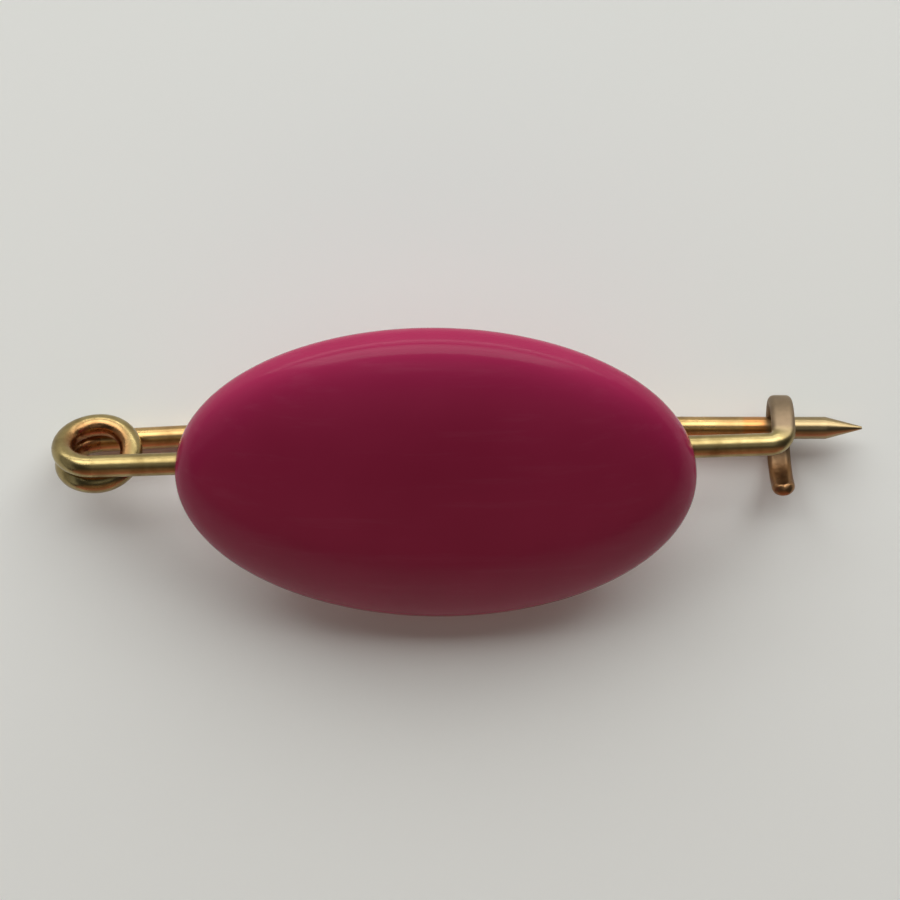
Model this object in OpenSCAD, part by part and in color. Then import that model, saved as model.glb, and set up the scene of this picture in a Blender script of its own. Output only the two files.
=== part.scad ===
// Oval brooch: a plain oval cabochon on a round brass wire. The wire runs straight
// behind the stone. At one end it is wound into a small spring and comes back as the
// pin, at the other end it is hammered flat and curled into the hook of the catch.
//
// Each piece is drawn in the brooch's own frame: X runs along the bar toward the
// hook, Z points out of the front of the stone and the bar's axis is the X axis.
// The module lying() then lays the whole brooch down as it rests on a table.

/* [Stone] */
// Length of the oval stone
stone_length = 25; // [22:0.5:26]
// Width of the oval stone
stone_width = 18; // [16:0.5:20]
// Height of the domed front above the widest line
crown_height = 2.8; // [2.2:0.1:4]
// Depth of the edge between the widest line and the flat back
edge_depth = 1.3; // [1.2:0.05:1.6]
// Rounding of that edge toward the flat back
back_rounding = 1.2; // [0.8:0.05:1.2]
// Turn of the stone in its own plane against the bar
stone_turn = -3.8; // [-8:0.1:8]
// How far the bar is let into the flat back
groove_depth = 0.3; // [0.2:0.05:0.45]

/* [Wire] */
// Diameter of the wire
wire_diameter = 1.1; // [1:0.02:1.12]
// Distance from the middle of the stone to the middle of the hook strip
hook_reach = 16.9; // [16:0.1:18]
// Distance from the middle of the stone to the middle of the spring
coil_reach = 16.7; // [15.5:0.1:18]

/* [Spring] */
// Diameter of the spring, measured at the middle of the wire
coil_diameter = 3.25; // [3:0.05:3.6]
// Gap between neighbouring turns of the spring
coil_gap = 0.05; // [0.05:0.01:0.2]
// Cant of the spring about the bar
coil_cant = 4.6; // [0:0.1:8]

/* [Pin] */
// Length of the ground point
point_length = 1.8; // [1.5:0.1:3]
// Distance from the middle of the stone to the tip of the pin
tip_reach = 21; // [20:0.1:21.5]
// How far short of its last half turn the pin leaves the spring, in degrees
pin_exit = 2; // [0:0.25:3]
// Angle between the pin, where it leaves the spring, and the straight line to its seat
bow_lift = 2.4; // [2:0.1:2.5]
// Radius of the slight bow
bow_radius = 360; // [250:10:360]
// Turn of the bow's plane about that line, away from the back of the brooch
bow_turn = 30; // [20:5:50]

/* [Hook] */
// Width of the flattened strip
strip_width = 1.15; // [1:0.05:1.4]
// Thickness of the flattened strip
strip_thickness = 0.6; // [0.5:0.05:0.7]
// Outer diameter of the curled strip
hook_diameter = 5.05; // [4.8:0.05:5.2]
// Angle at which the strip leaves the elbow, up from the stone's plane
hook_start = 26; // [22:0.5:34]
// Angle that the curled strip covers
hook_sweep = 238; // [230:1:244]
// Radius of the elbow between the bar and the strip
elbow_radius = 0.7; // [0.6:0.05:0.8]

/* [Hidden] */
// Flats of each round face, and of the long bow of the pin
round_steps = 96;
bow_steps = 2048;
$fn = round_steps;

wire_radius = wire_diameter / 2;
coil_radius = coil_diameter / 2;
strip_half = strip_width / 2;

// Clearances: between pieces that touch, and between the pin and its seat
fit_gap = 0.03;
seat_gap = 0.03;
// How far cut bodies reach past the faces that they cut
spill = 1;

// Stone: the flat back lies in front of the bar's axis by this much
back_z = wire_radius - groove_depth;
stone_stretch = stone_length / stone_width;
stone_half = stone_width / 2;

// Hook: the elbow turns the wire into the plane of the curled strip
hook_radius = (hook_diameter - strip_thickness) / 2;
elbow_x = hook_reach - elbow_radius;
hook_y = elbow_radius * sin(hook_start) - hook_radius * cos(hook_start);
hook_z = -elbow_radius * cos(hook_start) - hook_radius * sin(hook_start);
// The end is cut a little wider than the strip's half width, to leave it clean
end_spare = 0.05;
end_radius = strip_half + end_spare;
end_angle = asin(end_radius / hook_radius);

// Spring: half turns, each a flat half circle leaned by half a step
half_turns = 3;
turn_rise = (wire_diameter + coil_gap) / 2;
turn_lean = atan(turn_rise / coil_diameter);
turn_radius = norm([coil_diameter, turn_rise]) / 2;
last_lean = coil_cant - turn_lean;

// The lowest place of the spring, where the last half turn would end
start_y = -half_turns * turn_rise * cos(coil_cant) + coil_diameter * sin(coil_cant);
start_z = -coil_diameter * cos(coil_cant) - half_turns * turn_rise * sin(coil_cant);
pin_span = hook_reach + coil_reach;

// Pin: where it leaves the spring
middle_rise = (half_turns - 0.5) * turn_rise;
leave_drop = turn_radius * cos(pin_exit);
leave_x = -coil_reach - turn_radius * sin(pin_exit);
leave_y = coil_radius * sin(coil_cant) - middle_rise * cos(coil_cant) + leave_drop * sin(last_lean);
leave_z = -coil_radius * cos(coil_cant) - middle_rise * sin(coil_cant) - leave_drop * cos(last_lean);
// Its seat in the hook
seat_y = hook_y;
seat_z = hook_z - (hook_radius - strip_thickness / 2 - wire_radius - seat_gap);
// The straight line between the two
line = [hook_reach - leave_x, seat_y - leave_y, seat_z - leave_z];
line_length = norm(line);
line_slant = atan2(line[1], line[0]);
line_rise = asin(line[2] / line_length);
// In the plane of the bow: the seat, and the straight stretch that runs on through it
seat_along = line_length * cos(bow_lift);
seat_up = line_length * sin(bow_lift);
seat_far = norm([seat_along, seat_up - bow_radius]);
bow_angle = atan2(seat_up - bow_radius, seat_along) + asin(bow_radius / seat_far);
straight_x = bow_radius * sin(bow_angle);
straight_z = bow_radius * (1 - cos(bow_angle));
seat_stretch = norm([seat_along - straight_x, seat_up - straight_z]);
straight_length = seat_stretch + tip_reach - hook_reach - point_length;
tip_radius = 0.1;
// The straight stretch is a hair thinner than the bow, and its root lies inside the bow
pin_radius = wire_radius - 0.01;
root_length = 0.1;

// Rest: the stone's lower edge, the back of the hook and the back of the spring
// touch the table together. The stone lies midway between the other two.
rest_y = stone_half - back_rounding + (hook_y + start_y) / 2;
rest_z = back_z + back_rounding - (hook_z + start_z) / 2;
rest_reach = (hook_diameter / 2 + wire_radius) / 2 - back_rounding;
lean = asin(rest_reach / norm([rest_y, rest_z])) + atan(rest_z / rest_y);
hook_drop = hook_diameter / 2 - hook_y * sin(lean) - hook_z * cos(lean);
coil_drop = wire_radius - start_y * sin(lean) - start_z * cos(lean);
pitch = -atan((hook_drop - coil_drop) / pin_span);
rest_height = (hook_drop + coil_drop) / 2;
// Turn of the whole brooch on the table
yaw = 2.06;
// Moves the middle of the whole brooch over the origin
centre_x = -1.09;
centre_y = 0.89;

module lying() {
    translate([centre_x, centre_y, rest_height])
    rotate([lean, pitch, yaw])
        children();
}

// Half of a ring of wire, from the front over one side to the back
module half_turn(angle) {
    rotate([90, 0, 0])
    rotate([0, 0, 90])
    rotate_extrude(angle = angle)
    translate([turn_radius, 0])
        circle(r = wire_radius);
}

// Outline of the stone's straight edge, from the middle outward
module edge_outline() {
    square([stone_half - back_rounding, edge_depth]);
    translate([0, back_rounding])
        square([stone_half, edge_depth - back_rounding]);
    intersection() {
        translate([stone_half - back_rounding, back_rounding])
            circle(r = back_rounding);
        square([stone_half, edge_depth]);
    }
}

// Solid oval with a domed front and a flat back, before the groove is cut
module oval_blank() {
    scale([stone_stretch, 1, 1]) {
        rotate_extrude()
            edge_outline();
        translate([0, 0, edge_depth])
        intersection() {
            scale([1, 1, crown_height / stone_half])
                sphere(r = stone_half);
            translate([-stone_width, -stone_width, 0])
                cube([2 * stone_width, 2 * stone_width, crown_height + spill]);
        }
    }
}

// The strip's outline across its width, flat with round edges, drawn at its radius
module strip_outline() {
    flat_half = strip_half - strip_thickness / 2;
    translate([hook_radius, 0]) {
        square([strip_thickness, 2 * flat_half], center = true);
        for (side = [-1, 1])
            translate([0, side * flat_half])
                circle(r = strip_thickness / 2);
    }
}

// The whole strip, with its end cut to a half circle
module curled_strip() {
    translate([hook_reach, hook_y, hook_z])
    rotate([0, 90, 0])
    rotate([0, 0, 90 + hook_start - hook_sweep])
    difference() {
        rotate([0, 0, -end_angle])
        rotate_extrude(angle = hook_sweep + end_angle)
            strip_outline();
        difference() {
            translate([0, -hook_radius, -strip_width])
                cube([hook_diameter, hook_radius, 2 * strip_width]);
            rotate([0, 90, 0])
                cylinder(r = end_radius, h = 2 * hook_diameter);
        }
    }
}

// Quarter turn of round wire from the bar into the plane of the strip
module elbow() {
    translate([elbow_x, 0, 0])
    rotate([hook_start - 90, 0, 0])
    translate([0, elbow_radius, 0])
    rotate_extrude(angle = 90, start = -90)
    translate([elbow_radius, 0])
        circle(r = wire_radius);
}

module oval_stone() {
    color("#8a1f3d")
    lying()
    difference() {
        translate([0, 0, back_z])
        rotate([0, 0, stone_turn])
            oval_blank();
        rotate([0, 90, 0])
            cylinder(r = wire_radius + fit_gap, h = 2 * stone_length, center = true);
    }
}

module bar_wire() {
    color("#a8905c")
    lying()
    union() {
        translate([-coil_reach + fit_gap, 0, 0])
        rotate([0, 90, 0])
            cylinder(r = wire_radius, h = coil_reach - fit_gap + elbow_x);
        elbow();
        // Shoulder where the hammer has left the wire round
        translate([hook_reach, elbow_radius * sin(hook_start), -elbow_radius * cos(hook_start)])
            sphere(r = wire_radius);
        curled_strip();
    }
}

module spring_coil() {
    color("#a8905c")
    lying()
    translate([-coil_reach, 0, 0])
    rotate([coil_cant, 0, 0])
    for (turn = [1:half_turns])
        translate([0, -(turn - 0.5) * turn_rise, -coil_radius])
        rotate([-turn_lean, 0, turn % 2 == 1 ? 0 : 180])
            half_turn(turn == half_turns ? 180 - pin_exit : 180);
}

module pin_stem() {
    color("#b08a4c")
    lying()
    translate([leave_x, leave_y, leave_z])
    rotate([bow_turn, -line_rise, line_slant])
    rotate([0, bow_lift, 0])
    translate([fit_gap, 0, 0])
    union() {
        // Bowed stretch
        translate([0, 0, bow_radius])
        rotate([90, 0, 0])
        rotate_extrude(angle = bow_angle, start = -90, $fn = bow_steps)
        translate([bow_radius, 0])
            circle(r = wire_radius, $fn = round_steps);
        // Straight stretch and point
        translate([straight_x, 0, straight_z])
        rotate([0, 90 - bow_angle, 0]) {
            translate([0, 0, -root_length])
                cylinder(r = pin_radius, h = straight_length + root_length);
            translate([0, 0, straight_length])
                cylinder(r1 = pin_radius, r2 = tip_radius, h = point_length);
        }
    }
}

oval_stone();
bar_wire();
spring_coil();
pin_stem();
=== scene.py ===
import math

import bmesh
import bpy
from mathutils import Matrix, Vector


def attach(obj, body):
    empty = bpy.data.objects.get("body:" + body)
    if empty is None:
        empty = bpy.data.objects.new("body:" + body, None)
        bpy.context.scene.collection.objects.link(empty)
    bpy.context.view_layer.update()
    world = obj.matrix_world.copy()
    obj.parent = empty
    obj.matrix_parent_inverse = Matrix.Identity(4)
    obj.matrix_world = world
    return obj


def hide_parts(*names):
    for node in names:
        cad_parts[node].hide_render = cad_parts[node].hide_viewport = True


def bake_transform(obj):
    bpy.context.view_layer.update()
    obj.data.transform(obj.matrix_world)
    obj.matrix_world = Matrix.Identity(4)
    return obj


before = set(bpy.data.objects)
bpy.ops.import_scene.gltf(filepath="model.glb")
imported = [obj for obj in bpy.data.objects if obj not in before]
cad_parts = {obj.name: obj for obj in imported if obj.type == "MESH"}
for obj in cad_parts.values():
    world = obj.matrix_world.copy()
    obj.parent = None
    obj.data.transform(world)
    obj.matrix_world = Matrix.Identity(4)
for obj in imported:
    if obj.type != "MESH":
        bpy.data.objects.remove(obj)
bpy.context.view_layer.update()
scene = bpy.context.scene
scene.view_settings.view_transform = "Standard"
mm = 0.001


# The brooch is drawn with its bar along X and the stone's front along Z, all in millimetres, then laid down.
rest = {
    "lean": 34.9683,  # degrees, the front tips toward -Y
    "pitch": -1.1185,
    "yaw": 2.06,
    "place": (-1.09, 0.89, 4.4821),  # the middle of the bar
}
layDown = (
    Matrix.Scale(mm, 4)
    @ Matrix.Translation(rest["place"])
    @ Matrix.Rotation(math.radians(rest["yaw"]), 4, "Z")
    @ Matrix.Rotation(math.radians(rest["pitch"]), 4, "Y")
    @ Matrix.Rotation(math.radians(rest["lean"]), 4, "X")
)


def linearColour(hexColour):
    parts = [int(hexColour[i : i + 2], 16) / 255 for i in (1, 3, 5)]
    linear = [p / 12.92 if p <= 0.04045 else ((p + 0.055) / 1.055) ** 2.4 for p in parts]
    return (*linear, 1.0)


def addNode(material, kind, settings=(), values=(), links=()):
    tree = material.node_tree
    node = tree.nodes.new(kind)
    for name, value in dict(settings).items():
        setattr(node, name, value)
    for name, value in dict(values).items():
        node.inputs[name].default_value = value
    for name, source in dict(links).items():
        tree.links.new(source, node.inputs[name])
    return node


def newMaterial(name):
    material = bpy.data.materials.new(name)
    material.use_nodes = True
    return material, material.node_tree.nodes["Principled BSDF"]


def setStops(ramp, stops):
    points = ramp.color_ramp.elements
    while len(points) < len(stops):
        points.new(0.5)
    for point, (place, colour) in zip(points, stops):
        point.position = place
        point.color = linearColour(colour)


def finishPiece(bm, name, material, smoothAngle=None):
    bmesh.ops.transform(bm, matrix=layDown, verts=bm.verts)
    mesh = bpy.data.meshes.new(name)
    bm.to_mesh(mesh)
    bm.free()
    mesh.materials.append(material)
    for face in mesh.polygons:
        face.use_smooth = True
    if smoothAngle:
        mesh.set_sharp_from_angle(angle=math.radians(smoothAngle))
    piece = bpy.data.objects.new(name, mesh)
    scene.collection.objects.link(piece)
    return piece


# wire: a ring of edges is extruded from place to place along a path
def straightPath(start, end, steps):
    start, end = Vector(start), Vector(end)
    return [start.lerp(end, i / steps) for i in range(steps + 1)]


def arcPath(start, centre, axis, degrees, steps):
    start, centre = Vector(start), Vector(centre)
    turns = [Matrix.Rotation(math.radians(degrees * i / steps), 3, Vector(axis)) for i in range(steps + 1)]
    return [centre + turn @ (start - centre) for turn in turns]


def joinPaths(*paths):
    points = list(paths[0])
    for path in paths[1:]:
        points += path[1:]
    return points


# section gives, for a distance along the wire, its half width and half thickness; its edges are round
def sweepWire(points, firstUp, section, sides):
    bm = bmesh.new()
    unbent = bm.verts.layers.float_vector.new("unbent")  # where each point lay before the wire was bent, in mm
    tangents = []
    for i in range(len(points)):
        a, b = points[max(i - 1, 0)], points[min(i + 1, len(points) - 1)]
        tangents.append((b - a).normalized())
    up = (Vector(firstUp) - Vector(firstUp).dot(tangents[0]) * tangents[0]).normalized()
    ring = bmesh.ops.create_circle(bm, cap_ends=False, segments=sides, radius=1.0)["verts"]
    along = 0.0
    for i, point in enumerate(points):
        if i:
            along += (point - points[i - 1]).length
            up = tangents[i - 1].rotation_difference(tangents[i]) @ up
            edges = [e for e in {e for v in ring for e in v.link_edges} if all(v in ring for v in e.verts)]
            made = bmesh.ops.extrude_edge_only(bm, edges=edges)["geom"]
            new = [g for g in made if isinstance(g, bmesh.types.BMVert)]
            # each new corner lies on the old one that it was drawn from
            ring = [min(new, key=lambda v: (v.co - old.co).length_squared) for old in ring]
        side = up.cross(tangents[i])
        halfWidth, halfThick = section(along)
        for k, vert in enumerate(ring):
            angle = 2 * math.pi * k / sides
            c, s = math.cos(angle), math.sin(angle)
            across = math.copysign(halfWidth - halfThick, c) + halfThick * c
            outward = halfThick * s
            vert.co = point + side * across + up * outward
            vert[unbent] = (across, outward, along)
        if i == 0:
            bm.faces.new(ring)
    bm.faces.new(ring)
    bmesh.ops.recalc_face_normals(bm, faces=bm.faces)
    return bm


# Acrylic, moulded and tumbled: one deep even colour, a soft clear reflection on top and faint rubbed scuffs.
acrylic = {
    "deep": "#912347",
    "light": "#98284d",
    "tint": 7.0,  # mm across a patch of slightly lighter colour
    "wiped": "#a8506a",  # faint streaks where it has been wiped and scuffed
    "wipe": 0.14,  # how far a streak turns to that colour
    "wipeStreaks": (0.12, 1.5, 1.5),  # in a mm along the stone, across it and through it
    "wipeTurn": -5.0,  # degrees against the bar
    "gloss": 0.15,  # roughness where it is clean
    "rubbed": 0.25,  # roughness in the rubbed patches
    "rub": 2.5,  # mm across a rubbed patch
    "scuff": 0.12,  # mm between hairline scuffs, drawn coarser than real ones so that they show
    "scuffStretch": (0.08, 1.0, 1.0),  # a hairline is drawn out along the stone
    "scuffTurn": -8.0,  # degrees against the bar
    "scuffHeight": 0.02,  # mm
    "scuffStrength": 0.03,
    "ior": 1.49,
    "reflection": 0.11,  # 0.5 is a clean polished face, and this one is worn
}


def makeAcrylic():
    material, shader = newMaterial("tumbledAcrylic")
    place = addNode(material, "ShaderNodeTexCoord").outputs["Object"]
    inMm = addNode(
        material,
        "ShaderNodeMapping",
        values={"Scale": (1 / mm,) * 3},
        links={"Vector": place},
    ).outputs["Vector"]
    tint = addNode(
        material,
        "ShaderNodeTexNoise",
        values={"Scale": 1 / acrylic["tint"], "Detail": 2.0},
        links={"Vector": inMm},
    )
    colour = addNode(material, "ShaderNodeValToRGB", links={"Fac": tint.outputs["Fac"]})
    setStops(colour, [(0.3, acrylic["deep"]), (0.7, acrylic["light"])])
    wiped = addNode(
        material,
        "ShaderNodeMapping",
        values={"Scale": acrylic["wipeStreaks"], "Rotation": (0, 0, math.radians(acrylic["wipeTurn"]))},
        links={"Vector": inMm},
    )
    wipe = addNode(
        material,
        "ShaderNodeTexNoise",
        values={"Scale": 1.0, "Detail": 6.0, "Roughness": 0.65},
        links={"Vector": wiped.outputs["Vector"]},
    )
    wipeHere = addNode(
        material,
        "ShaderNodeMapRange",
        values={"From Min": 0.54, "From Max": 0.72, "To Max": acrylic["wipe"]},
        links={"Value": wipe.outputs["Fac"]},
    )
    colour = addNode(
        material,
        "ShaderNodeMix",
        {"data_type": "RGBA"},
        values={7: linearColour(acrylic["wiped"])},
        links={0: wipeHere.outputs["Result"], 6: colour.outputs["Color"]},
    )
    rub = addNode(
        material,
        "ShaderNodeTexNoise",
        values={"Scale": 1 / acrylic["rub"], "Detail": 6.0, "Roughness": 0.6},
        links={"Vector": inMm},
    )
    gloss = addNode(
        material,
        "ShaderNodeMapRange",
        values={"From Min": 0.45, "From Max": 0.75, "To Min": acrylic["gloss"], "To Max": acrylic["rubbed"]},
        links={"Value": rub.outputs["Fac"]},
    )
    alongScuff = addNode(
        material,
        "ShaderNodeMapping",
        values={"Scale": acrylic["scuffStretch"], "Rotation": (0, 0, math.radians(acrylic["scuffTurn"]))},
        links={"Vector": inMm},
    )
    scuff = addNode(
        material,
        "ShaderNodeTexNoise",
        values={"Scale": 1 / acrylic["scuff"], "Detail": 3.0, "Roughness": 0.7},
        links={"Vector": alongScuff.outputs["Vector"]},
    )
    bump = addNode(
        material,
        "ShaderNodeBump",
        values={"Strength": acrylic["scuffStrength"], "Distance": acrylic["scuffHeight"] * mm},
        links={"Height": scuff.outputs["Fac"]},
    )
    links = material.node_tree.links
    links.new(colour.outputs[2], shader.inputs["Base Color"])
    links.new(gloss.outputs["Result"], shader.inputs["Roughness"])
    links.new(bump.outputs["Normal"], shader.inputs["Normal"])
    shader.inputs["IOR"].default_value = acrylic["ior"]
    shader.inputs["Specular IOR Level"].default_value = acrylic["reflection"]
    return material


# Brass, drawn into wire: fine lines run along it, it has dulled to brown in patches and shines where it is rubbed.
# The hook's strip is hammered, so it is matt and finely dented; its curled end is painted coppery, a painted
# reflection of warm light bounced inside the curl.
barBrass = {
    "name": "dulledDrawnBrass",
    "shine": "#b3a372",
    "mid": "#9f8d5e",
    "dull": "#7c6a42",
    "rough": 0.26,
    "dullRough": 0.38,
    "patch": 1.6,  # mm across a dulled patch
    "lines": 0.1,  # strength of the drawn lines
    # mm along the wire: the hammered strip sets in, is full, the painted coppery reflection of the curl sets in,
    # and is full
    "zone": (33.4, 34.1, 40.0, 41.4),
    "zoneColour": "#8a775f",
    "zoneRough": 0.58,
    # painted reflection: warm light bounced inside the hook's curl
    "afterColour": "#94704c",
    "afterRough": 0.33,
    "dent": 0.35,  # strength of the hammer marks
    "inner": 0.0,  # how far the inner side of a bend is painted coppery, as painted shade and reflection
}
# The spring is the same wire, rubbed smoother on the outside of its turns; the inside of its turns is painted
# coppery, a painted shade and reflection where the turns face each other.
coilBrass = {
    "name": "coiledDrawnBrass",
    "shine": "#b3a372",
    "mid": "#9f8d5e",
    "dull": "#7c6a42",
    "rough": 0.2,
    "dullRough": 0.32,
    "patch": 1.6,
    "lines": 0.1,
    "zone": None,
    "dent": 0.0,
    "inner": 0.85,
    "innerShadeColour": "#98653f",
    "innerEdge": (-0.1, -0.5),  # mm across the wire, toward the inside of the bend
}
# The pin is rubbed by the cloth that it goes through, so it is brighter and warmer.
pinBrass = {
    "name": "rubbedDrawnBrass",
    "shine": "#c8aa70",
    "mid": "#b59460",
    "dull": "#8c6e44",
    "rough": 0.23,
    "dullRough": 0.34,
    "patch": 2.2,
    "lines": 0.04,
    "zone": (31.8, 32.0, 32.9, 33.2),  # mm along the pin: a warm patch where it goes into the hook, partly rubbed and partly a painted reflection of the hook's coppery face
    "zoneColour": "#bf8850",
    "zoneRough": 0.28,
    "afterColour": "#a08c66",
    "afterRough": 0.3,
    "dent": 0.0,
    "inner": 0.0,
}
brassGrain = {
    # drawn lines in a mm across the wire, out of it and along it, coarser than real ones so that they show
    "lines": (14.0, 14.0, 0.5),
    "lineHeight": 0.02,  # mm
    "dents": 4.0,  # hammer marks in a mm
    "dentHeight": 0.05,  # mm
    "mottle": (0.8, 1.15),  # darkest and lightest of the zone's own colour
}


def makeBrass(look):
    material, shader = newMaterial(look["name"])
    unbent = addNode(material, "ShaderNodeAttribute", {"attribute_name": "unbent"}).outputs["Vector"]
    split = addNode(material, "ShaderNodeSeparateXYZ", links={"Vector": unbent})
    across, along = split.outputs["X"], split.outputs["Z"]
    patch = addNode(
        material,
        "ShaderNodeTexNoise",
        values={"Scale": 1 / look["patch"], "Detail": 5.0, "Roughness": 0.6},
        links={"Vector": unbent},
    ).outputs["Fac"]
    ramp = addNode(material, "ShaderNodeValToRGB", links={"Fac": patch})
    setStops(ramp, [(0.3, look["dull"]), (0.5, look["mid"]), (0.7, look["shine"])])
    colour = ramp.outputs["Color"]
    rough = addNode(
        material,
        "ShaderNodeMapRange",
        values={"From Min": 0.35, "From Max": 0.65, "To Min": look["dullRough"], "To Max": look["rough"]},
        links={"Value": patch},
    ).outputs["Result"]
    drawn = addNode(material, "ShaderNodeMapping", values={"Scale": brassGrain["lines"]}, links={"Vector": unbent})
    lines = addNode(
        material,
        "ShaderNodeTexNoise",
        values={"Scale": 1.0, "Detail": 3.0},
        links={"Vector": drawn.outputs["Vector"]},
    )
    normal = addNode(
        material,
        "ShaderNodeBump",
        values={"Strength": look["lines"], "Distance": brassGrain["lineHeight"] * mm},
        links={"Height": lines.outputs["Fac"]},
    ).outputs["Normal"]

    # the zone: on the bar, the hammered strip and then the painted coppery reflection in its curl; on the pin, the
    # warm patch, partly painted reflection, then the rest of the pin
    if look["zone"]:
        zoneStart, zoneFull, zoneEnd, zoneGone = look["zone"]
        inZone = addNode(
            material,
            "ShaderNodeMapRange",
            values={"From Min": zoneStart, "From Max": zoneFull},
            links={"Value": along},
        ).outputs["Result"]
        pastZone = addNode(
            material,
            "ShaderNodeMapRange",
            values={"From Min": zoneEnd, "From Max": zoneGone},
            links={"Value": along},
        ).outputs["Result"]
        zoneColour = addNode(
            material,
            "ShaderNodeMix",
            {"data_type": "RGBA"},
            values={6: linearColour(look["zoneColour"]), 7: linearColour(look["afterColour"])},
            links={0: pastZone},
        )
        darkest, lightest = brassGrain["mottle"]
        mottle = addNode(
            material,
            "ShaderNodeMapRange",
            values={"From Min": 0.3, "From Max": 0.7, "To Min": darkest, "To Max": lightest},
            links={"Value": patch},
        )
        mottled = addNode(
            material,
            "ShaderNodeVectorMath",
            {"operation": "SCALE"},
            links={0: zoneColour.outputs[2], "Scale": mottle.outputs["Result"]},
        )
        colour = addNode(
            material,
            "ShaderNodeMix",
            {"data_type": "RGBA"},
            links={0: inZone, 6: colour, 7: mottled.outputs["Vector"]},
        ).outputs[2]
        zoneRough = addNode(
            material,
            "ShaderNodeMix",
            {"data_type": "FLOAT"},
            values={2: look["zoneRough"], 3: look["afterRough"]},
            links={0: pastZone},
        )
        rough = addNode(
            material,
            "ShaderNodeMix",
            {"data_type": "FLOAT"},
            links={0: inZone, 2: rough, 3: zoneRough.outputs[0]},
        ).outputs[0]
        if look["dent"]:
            dents = addNode(
                material,
                "ShaderNodeTexNoise",
                values={"Scale": brassGrain["dents"], "Detail": 2.0},
                links={"Vector": unbent},
            )
            dentHere = addNode(
                material,
                "ShaderNodeMath",
                {"operation": "MULTIPLY"},
                links={0: dents.outputs["Fac"], 1: inZone},
            )
            normal = addNode(
                material,
                "ShaderNodeBump",
                values={"Strength": look["dent"], "Distance": brassGrain["dentHeight"] * mm},
                links={"Height": dentHere.outputs["Value"], "Normal": normal},
            ).outputs["Normal"]

    # painted shade and reflection: the inner side of a bend is painted coppery
    if look["inner"]:
        innerStart, innerFull = look["innerEdge"]
        innerShadeMask = addNode(
            material,
            "ShaderNodeMapRange",
            values={"From Min": innerStart, "From Max": innerFull, "To Max": look["inner"]},
            links={"Value": across},
        )
        colour = addNode(
            material,
            "ShaderNodeMix",
            {"data_type": "RGBA"},
            values={7: linearColour(look["innerShadeColour"])},
            links={0: innerShadeMask.outputs["Result"], 6: colour},
        ).outputs[2]

    links = material.node_tree.links
    links.new(colour, shader.inputs["Base Color"])
    links.new(rough, shader.inputs["Roughness"])
    links.new(normal, shader.inputs["Normal"])
    shader.inputs["Metallic"].default_value = 1.0
    return material


acrylicFinish = makeAcrylic()
barFinish = makeBrass(barBrass)
pinFinish = makeBrass(pinBrass)
coilFinish = makeBrass(coilBrass)
print("finishes made")


# the stone: a lathe-turned profile, stretched to an oval
stone = {
    "length": 25.0,
    "width": 18.0,
    "crown": 2.8,
    "fullness": 2.4,  # 2 is an ellipse, more is a flatter face with a rounder shoulder
    "edge": 1.3,
    "rounding": 1.2,
    "turn": -3.8,  # degrees in its own plane
    "back": 0.25,  # the flat back's distance from the bar's axis
    "groove": 0.58,  # radius of the groove that the bar lies in
    "domeSteps": 90,
    "roundSteps": 16,
    "turnSteps": 256,
    "grooveSteps": 64,
    "sharp": 35.0,  # degrees, past which an edge stays sharp
}


def makeStone():
    half = stone["width"] / 2
    edge, crown, rounding = stone["edge"], stone["crown"], stone["rounding"]
    full = 2 / stone["fullness"]
    quarter = math.pi / 2
    profile = []
    for i in range(stone["domeSteps"] + 1):
        t = quarter * i / stone["domeSteps"]
        profile.append((half * math.sin(t) ** full, edge + crown * max(math.cos(t), 0) ** full))
    for i in range(stone["roundSteps"] + 1):
        t = quarter * i / stone["roundSteps"]
        profile.append((half - rounding + rounding * math.cos(t), rounding - rounding * math.sin(t)))
    profile.append((0.0, 0.0))
    bm = bmesh.new()
    verts = [bm.verts.new((x, 0, z)) for x, z in profile]
    edges = [bm.edges.new(pair) for pair in zip(verts, verts[1:])]
    bmesh.ops.spin(
        bm,
        geom=verts + edges,
        cent=(0, 0, 0),
        axis=(0, 0, 1),
        dvec=(0, 0, 0),
        angle=2 * math.pi,
        steps=stone["turnSteps"],
        use_merge=True,
        use_duplicate=False,
    )
    bmesh.ops.remove_doubles(bm, verts=bm.verts, dist=0.001)
    bmesh.ops.recalc_face_normals(bm, faces=bm.faces)
    bmesh.ops.scale(bm, vec=(stone["length"] / stone["width"], 1, 1), verts=bm.verts)
    turned = Matrix.Rotation(math.radians(stone["turn"]), 3, "Z")
    bmesh.ops.rotate(bm, cent=(0, 0, 0), matrix=turned, verts=bm.verts)
    bmesh.ops.translate(bm, vec=(0, 0, stone["back"]), verts=bm.verts)
    piece = finishPiece(bm, "cabochonStone", acrylicFinish)

    rod = bmesh.new()
    bmesh.ops.create_cone(
        rod,
        cap_ends=True,
        segments=stone["grooveSteps"],
        radius1=stone["groove"],
        radius2=stone["groove"],
        depth=2 * stone["length"],
        matrix=Matrix.Rotation(math.pi / 2, 4, "Y"),
    )
    cutter = finishPiece(rod, "grooveCutter", acrylicFinish)
    cut = piece.modifiers.new("groove", "BOOLEAN")
    cut.operation, cut.solver, cut.object = "DIFFERENCE", "EXACT", cutter
    bpy.context.view_layer.update()
    grooved = bpy.data.meshes.new_from_object(piece.evaluated_get(bpy.context.evaluated_depsgraph_get()))
    piece.modifiers.clear()
    piece.data = grooved
    bpy.data.objects.remove(cutter)
    grooved.set_sharp_from_angle(angle=math.radians(stone["sharp"]))
    return piece


cabochonStone = makeStone()
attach(cabochonStone, "frame")
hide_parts("oval_stone")
print("stone made", len(cabochonStone.data.polygons))


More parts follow.
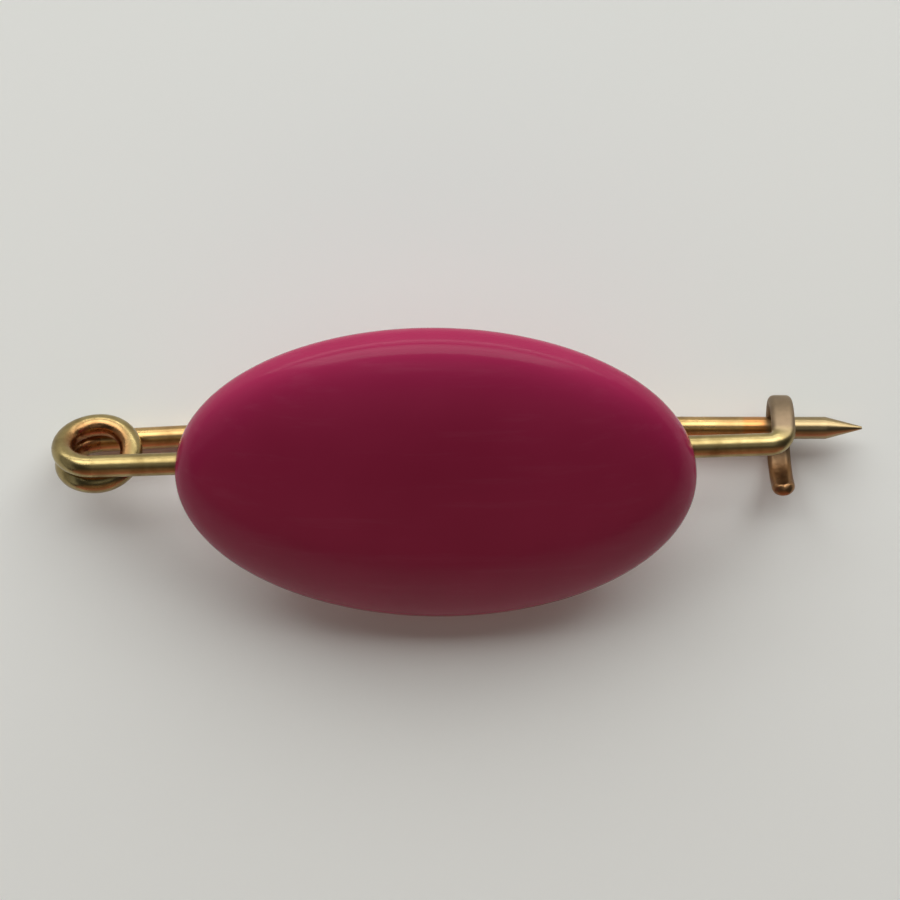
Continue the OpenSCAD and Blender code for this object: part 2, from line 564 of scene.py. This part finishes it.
# the bar, with its elbow and the hammered hook
wire = {
    "radius": 0.55,
    "coilReach": 16.7,  # mm from the middle of the bar to the middle of the spring
    "hookReach": 16.82,  # and to the middle of the hook's strip
    "barSteps": 30,
    "sides": 40,
    "sharp": 50.0,  # degrees, past which an edge stays sharp
}
hook = {
    "elbow": 0.7,  # radius of the elbow
    "start": 26.0,  # degrees, where the strip leaves the elbow
    "sweep": 238.0,
    "radius": 2.225,  # to the middle of the strip
    "halfWidth": 0.575,
    "halfThick": 0.3,
    "endRound": 0.16,  # mm, the rounding of the end across its thickness
    "flatFrom": 0.4,  # mm past the start of the elbow, where the hammered strip sets in
    "spread": 0.8,  # mm over which the round wire turns into the strip
    "drift": 0.24,  # mm that the curl moves along the bar by its end
    "elbowSteps": 20,
    "curlSteps": 150,
    "sides": 48,
}


def makeBar():
    start = math.radians(hook["start"])
    inward = Vector((0, math.sin(start), -math.cos(start)))  # where the elbow turns to
    outward = Vector((0, math.cos(start), math.sin(start)))
    elbowStart = Vector((wire["hookReach"] - hook["elbow"], 0, 0))
    elbowEnd = Vector((wire["hookReach"], 0, 0)) + inward * hook["elbow"]
    hookCentre = elbowEnd - outward * hook["radius"]
    curl = arcPath(elbowEnd, hookCentre, (1, 0, 0), -hook["sweep"], hook["curlSteps"])
    points = joinPaths(
        straightPath((-wire["coilReach"], 0, 0), elbowStart, wire["barSteps"]),
        arcPath(elbowStart, elbowStart + inward * hook["elbow"], outward, 90, hook["elbowSteps"]),
        [p + Vector((hook["drift"] * i / hook["curlSteps"], 0, 0)) for i, p in enumerate(curl)],
    )
    length = sum((b - a).length for a, b in zip(points, points[1:]))
    elbowAlong = wire["coilReach"] + elbowStart.x

    def section(along):
        t = min(max((along - elbowAlong - hook["flatFrom"]) / hook["spread"], 0), 1)
        t = t * t * (3 - 2 * t)
        width = wire["radius"] + (hook["halfWidth"] - wire["radius"]) * t
        thick = wire["radius"] + (hook["halfThick"] - wire["radius"]) * t
        left = length - along
        if left < width:  # the end is rounded off across its width
            width *= math.sqrt(max(1 - (1 - left / width) ** 2, 0.01))
        if left < hook["endRound"]:
            thick -= hook["endRound"] * (1 - math.sqrt(1 - (1 - left / hook["endRound"]) ** 2))
        return width, min(thick, width)

    bm = sweepWire(points, outward, section, hook["sides"])
    return finishPiece(bm, "barWire", barFinish, wire["sharp"])


barWire = makeBar()
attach(barWire, "frame")
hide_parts("bar_wire")
print("bar made", len(barWire.data.polygons))


# the spring: three half turns, each leaned by half a step
coil = {
    "cant": 4.6,  # degrees about the bar
    "radius": 1.625,
    "halfTurns": 3,
    "rise": 0.575,  # mm along the axis for each half turn
    "lean": 10.0331,  # degrees that a half turn is leaned, so that it climbs half a step
    "turnRadius": 1.6502,  # mm in the plane of a half turn
    "short": 2.0,  # degrees that the last half turn stops short
    "stub": 0.02,  # mm of straight wire at each end
    "turnSteps": 48,
}
coilFrame = Matrix.Translation((-wire["coilReach"], 0, 0)) @ Matrix.Rotation(math.radians(coil["cant"]), 4, "X")


def makeCoil():
    points = []
    for turn in range(coil["halfTurns"]):
        side = 1 if turn % 2 else -1
        place = (
            coilFrame
            @ Matrix.Translation((0, -(turn + 0.5) * coil["rise"], -coil["radius"]))
            @ Matrix.Rotation(math.radians(side * coil["lean"]), 4, "X")
            @ Matrix.Rotation(math.radians(180 * (turn % 2)), 4, "Y")
        )
        degrees = 180 - (coil["short"] if turn == coil["halfTurns"] - 1 else 0)
        half = arcPath((0, 0, coil["turnRadius"]), (0, 0, 0), (0, -1, 0), degrees, coil["turnSteps"])
        half = [place @ p for p in half]
        points = joinPaths(points, half) if points else half
    # a hair of straight wire at each end, so that the ends are cut square to the bar and the pin
    points[0:0] = [points[0] + Vector((coil["stub"], 0, 0))]
    points.append(points[-1] + (points[-1] - points[-2]).normalized() * coil["stub"])
    bm = sweepWire(points, (0, 1, 0), lambda along: (wire["radius"], wire["radius"]), wire["sides"])
    return finishPiece(bm, "springCoil", coilFinish, wire["sharp"])


springCoil = makeCoil()
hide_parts("spring_coil")
print("spring made", len(springCoil.data.polygons))


# the pin: a long bow, a straight stretch and a ground point
pin = {
    "start": (-16.7576, -1.4587, -3.3769),  # where it leaves the spring
    "slant": -0.3988,  # degrees, the straight line from there to the hook
    "rise": 0.7274,
    "bowTurn": 30.0,  # degrees that the bow's plane is turned about that line
    "bowLift": 2.4,  # degrees between that line and the first of the bow
    "bow": 360.0,  # radius of the bow
    "bowAngle": 3.6284,
    "straight": 13.1707,
    "point": 1.8,  # length of the ground point
    "tip": 0.07,  # radius that is left at its end
    "bowSteps": 24,
    "straightSteps": 30,
    "pointSteps": 24,
}


def makePin():
    place = (
        Matrix.Translation(pin["start"])
        @ Matrix.Rotation(math.radians(pin["slant"]), 4, "Z")
        @ Matrix.Rotation(math.radians(-pin["rise"]), 4, "Y")
        @ Matrix.Rotation(math.radians(pin["bowTurn"]), 4, "X")
        @ Matrix.Rotation(math.radians(pin["bowLift"]), 4, "Y")
    )
    bowEnd = math.radians(pin["bowAngle"])
    direction = Vector((math.cos(bowEnd), 0, math.sin(bowEnd)))
    bow = arcPath((0, 0, 0), (0, 0, pin["bow"]), (0, -1, 0), pin["bowAngle"], pin["bowSteps"])
    tipStart = bow[-1] + direction * pin["straight"]
    points = joinPaths(
        bow,
        straightPath(bow[-1], tipStart, pin["straightSteps"]),
        straightPath(tipStart, tipStart + direction * pin["point"], pin["pointSteps"]),
    )
    points = [place @ p for p in points]
    length = sum((b - a).length for a, b in zip(points, points[1:]))

    def section(along):
        radius, left = wire["radius"], length - along
        if left < pin["point"]:
            radius = pin["tip"] + (wire["radius"] - pin["tip"]) * left / pin["point"]
        return radius, radius

    bm = sweepWire(points, (0, 0, 1), section, wire["sides"])
    return finishPiece(bm, "pinStem", pinFinish, wire["sharp"])


pinStem = makePin()
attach(pinStem, "pin")
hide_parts("pin_stem")
print("pin made", len(pinStem.data.polygons))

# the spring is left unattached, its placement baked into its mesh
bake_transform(springCoil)


floorLook = {
    "colour": "#f0f4ef",
    "rough": 0.85,
    "reflection": 0.2,
    "size": 3.0,  # metres
}


def makeFloor():
    material, shader = newMaterial("matWhitePaint")  # emulsion paint: flat and pale, with hardly any shine
    shader.inputs["Base Color"].default_value = linearColour(floorLook["colour"])
    shader.inputs["Roughness"].default_value = floorLook["rough"]
    shader.inputs["Specular IOR Level"].default_value = floorLook["reflection"]
    bm = bmesh.new()
    bmesh.ops.create_grid(bm, x_segments=1, y_segments=1, size=floorLook["size"] / 2)
    mesh = bpy.data.meshes.new("floor")
    bm.to_mesh(mesh)
    bm.free()
    mesh.materials.append(material)
    floor = bpy.data.objects.new("floor", mesh)
    scene.collection.objects.link(floor)


makeFloor()

room = {"colour": "#dfe2e6", "strength": 0.06}
world = bpy.data.worlds.new("room")
world.use_nodes = True
scene.world = world
background = world.node_tree.nodes["Background"]
background.inputs["Color"].default_value = linearColour(room["colour"])
background.inputs["Strength"].default_value = room["strength"]

# softboxes on a ring round the brooch: bearing clockwise from +Y, height, and spread across and up, all in degrees
lightRing = 0.6  # metres from the middle
softboxes = {
    "sill": {"bearing": 0, "height": 4, "spread": (100, 6), "strength": 4.8, "colour": "#ffffff"},
    "sillEdge": {"bearing": 0, "height": 11, "spread": (100, 7), "strength": 2.4, "colour": "#ffffff"},
    "windowLow": {"bearing": 0, "height": 26, "spread": (90, 8), "strength": 3.5, "colour": "#ffffff"},
    "windowMiddle": {"bearing": 0, "height": 34, "spread": (80, 8), "strength": 4.7, "colour": "#ffffff"},
    "windowHigh": {"bearing": 0, "height": 42, "spread": (80, 8), "strength": 3.6, "colour": "#ffffff"},
    "skylight": {"bearing": 0, "height": 52, "spread": (70, 12), "strength": 3.7, "colour": "#ffffff"},
    "ceiling": {"bearing": 0, "height": 88, "spread": (40, 20), "strength": 0.3, "colour": "#ffffff"},
    "warmWallHigh": {"bearing": 180, "height": 48, "spread": (70, 22), "strength": 0.28, "colour": "#ffc8a0"},
    "warmWall": {"bearing": 180, "height": 26, "spread": (90, 20), "strength": 0.35, "colour": "#ffab8c"},
    "warmWallLow": {"bearing": 180, "height": 9, "spread": (90, 14), "strength": 0.7, "colour": "#ff9a98"},
    "wallLeft": {"bearing": -90, "height": 20, "spread": (60, 30), "strength": 0.3, "colour": "#ffffff"},
}
for name, box in softboxes.items():
    light = bpy.data.lights.new(name, "AREA")
    light.shape = "RECTANGLE"
    light.size, light.size_y = (2 * lightRing * math.tan(math.radians(s / 2)) for s in box["spread"])
    light.energy = math.pi * light.size * light.size_y * box["strength"]
    light.color = linearColour(box["colour"])[:3]
    lamp = bpy.data.objects.new(name, light)
    bearing, height = math.radians(box["bearing"]), math.radians(box["height"])
    level = math.cos(height)
    toward = Vector((math.sin(bearing) * level, math.cos(bearing) * level, math.sin(height)))
    lamp.location = toward * lightRing
    lamp.rotation_mode = "QUATERNION"
    lamp.rotation_quaternion = toward.to_track_quat("Z", "Y")
    scene.collection.objects.link(lamp)

camera = {
    "target": (-0.42, 0.924, 3.0),  # mm
    "tilt": 8.452,  # degrees from straight down
    "distance": 125.0,  # mm
    "pixelsPerMm": 20.42,  # at the target
    "pixels": 900,
    "sensor": 36.0,
    "clip": (0.01, 10.0),
}
tilt = math.radians(camera["tilt"])
lens = bpy.data.cameras.new("camera")
lens.sensor_width = camera["sensor"]
lens.lens = camera["sensor"] * camera["distance"] * camera["pixelsPerMm"] / camera["pixels"]
lens.clip_start, lens.clip_end = camera["clip"]
eye = bpy.data.objects.new("camera", lens)
toEye = Vector((0, math.sin(tilt), math.cos(tilt))) * camera["distance"]
eye.location = (Vector(camera["target"]) + toEye) * mm
eye.rotation_euler = (-tilt, 0, 0)
scene.collection.objects.link(eye)
scene.camera = eye
print("stage made")
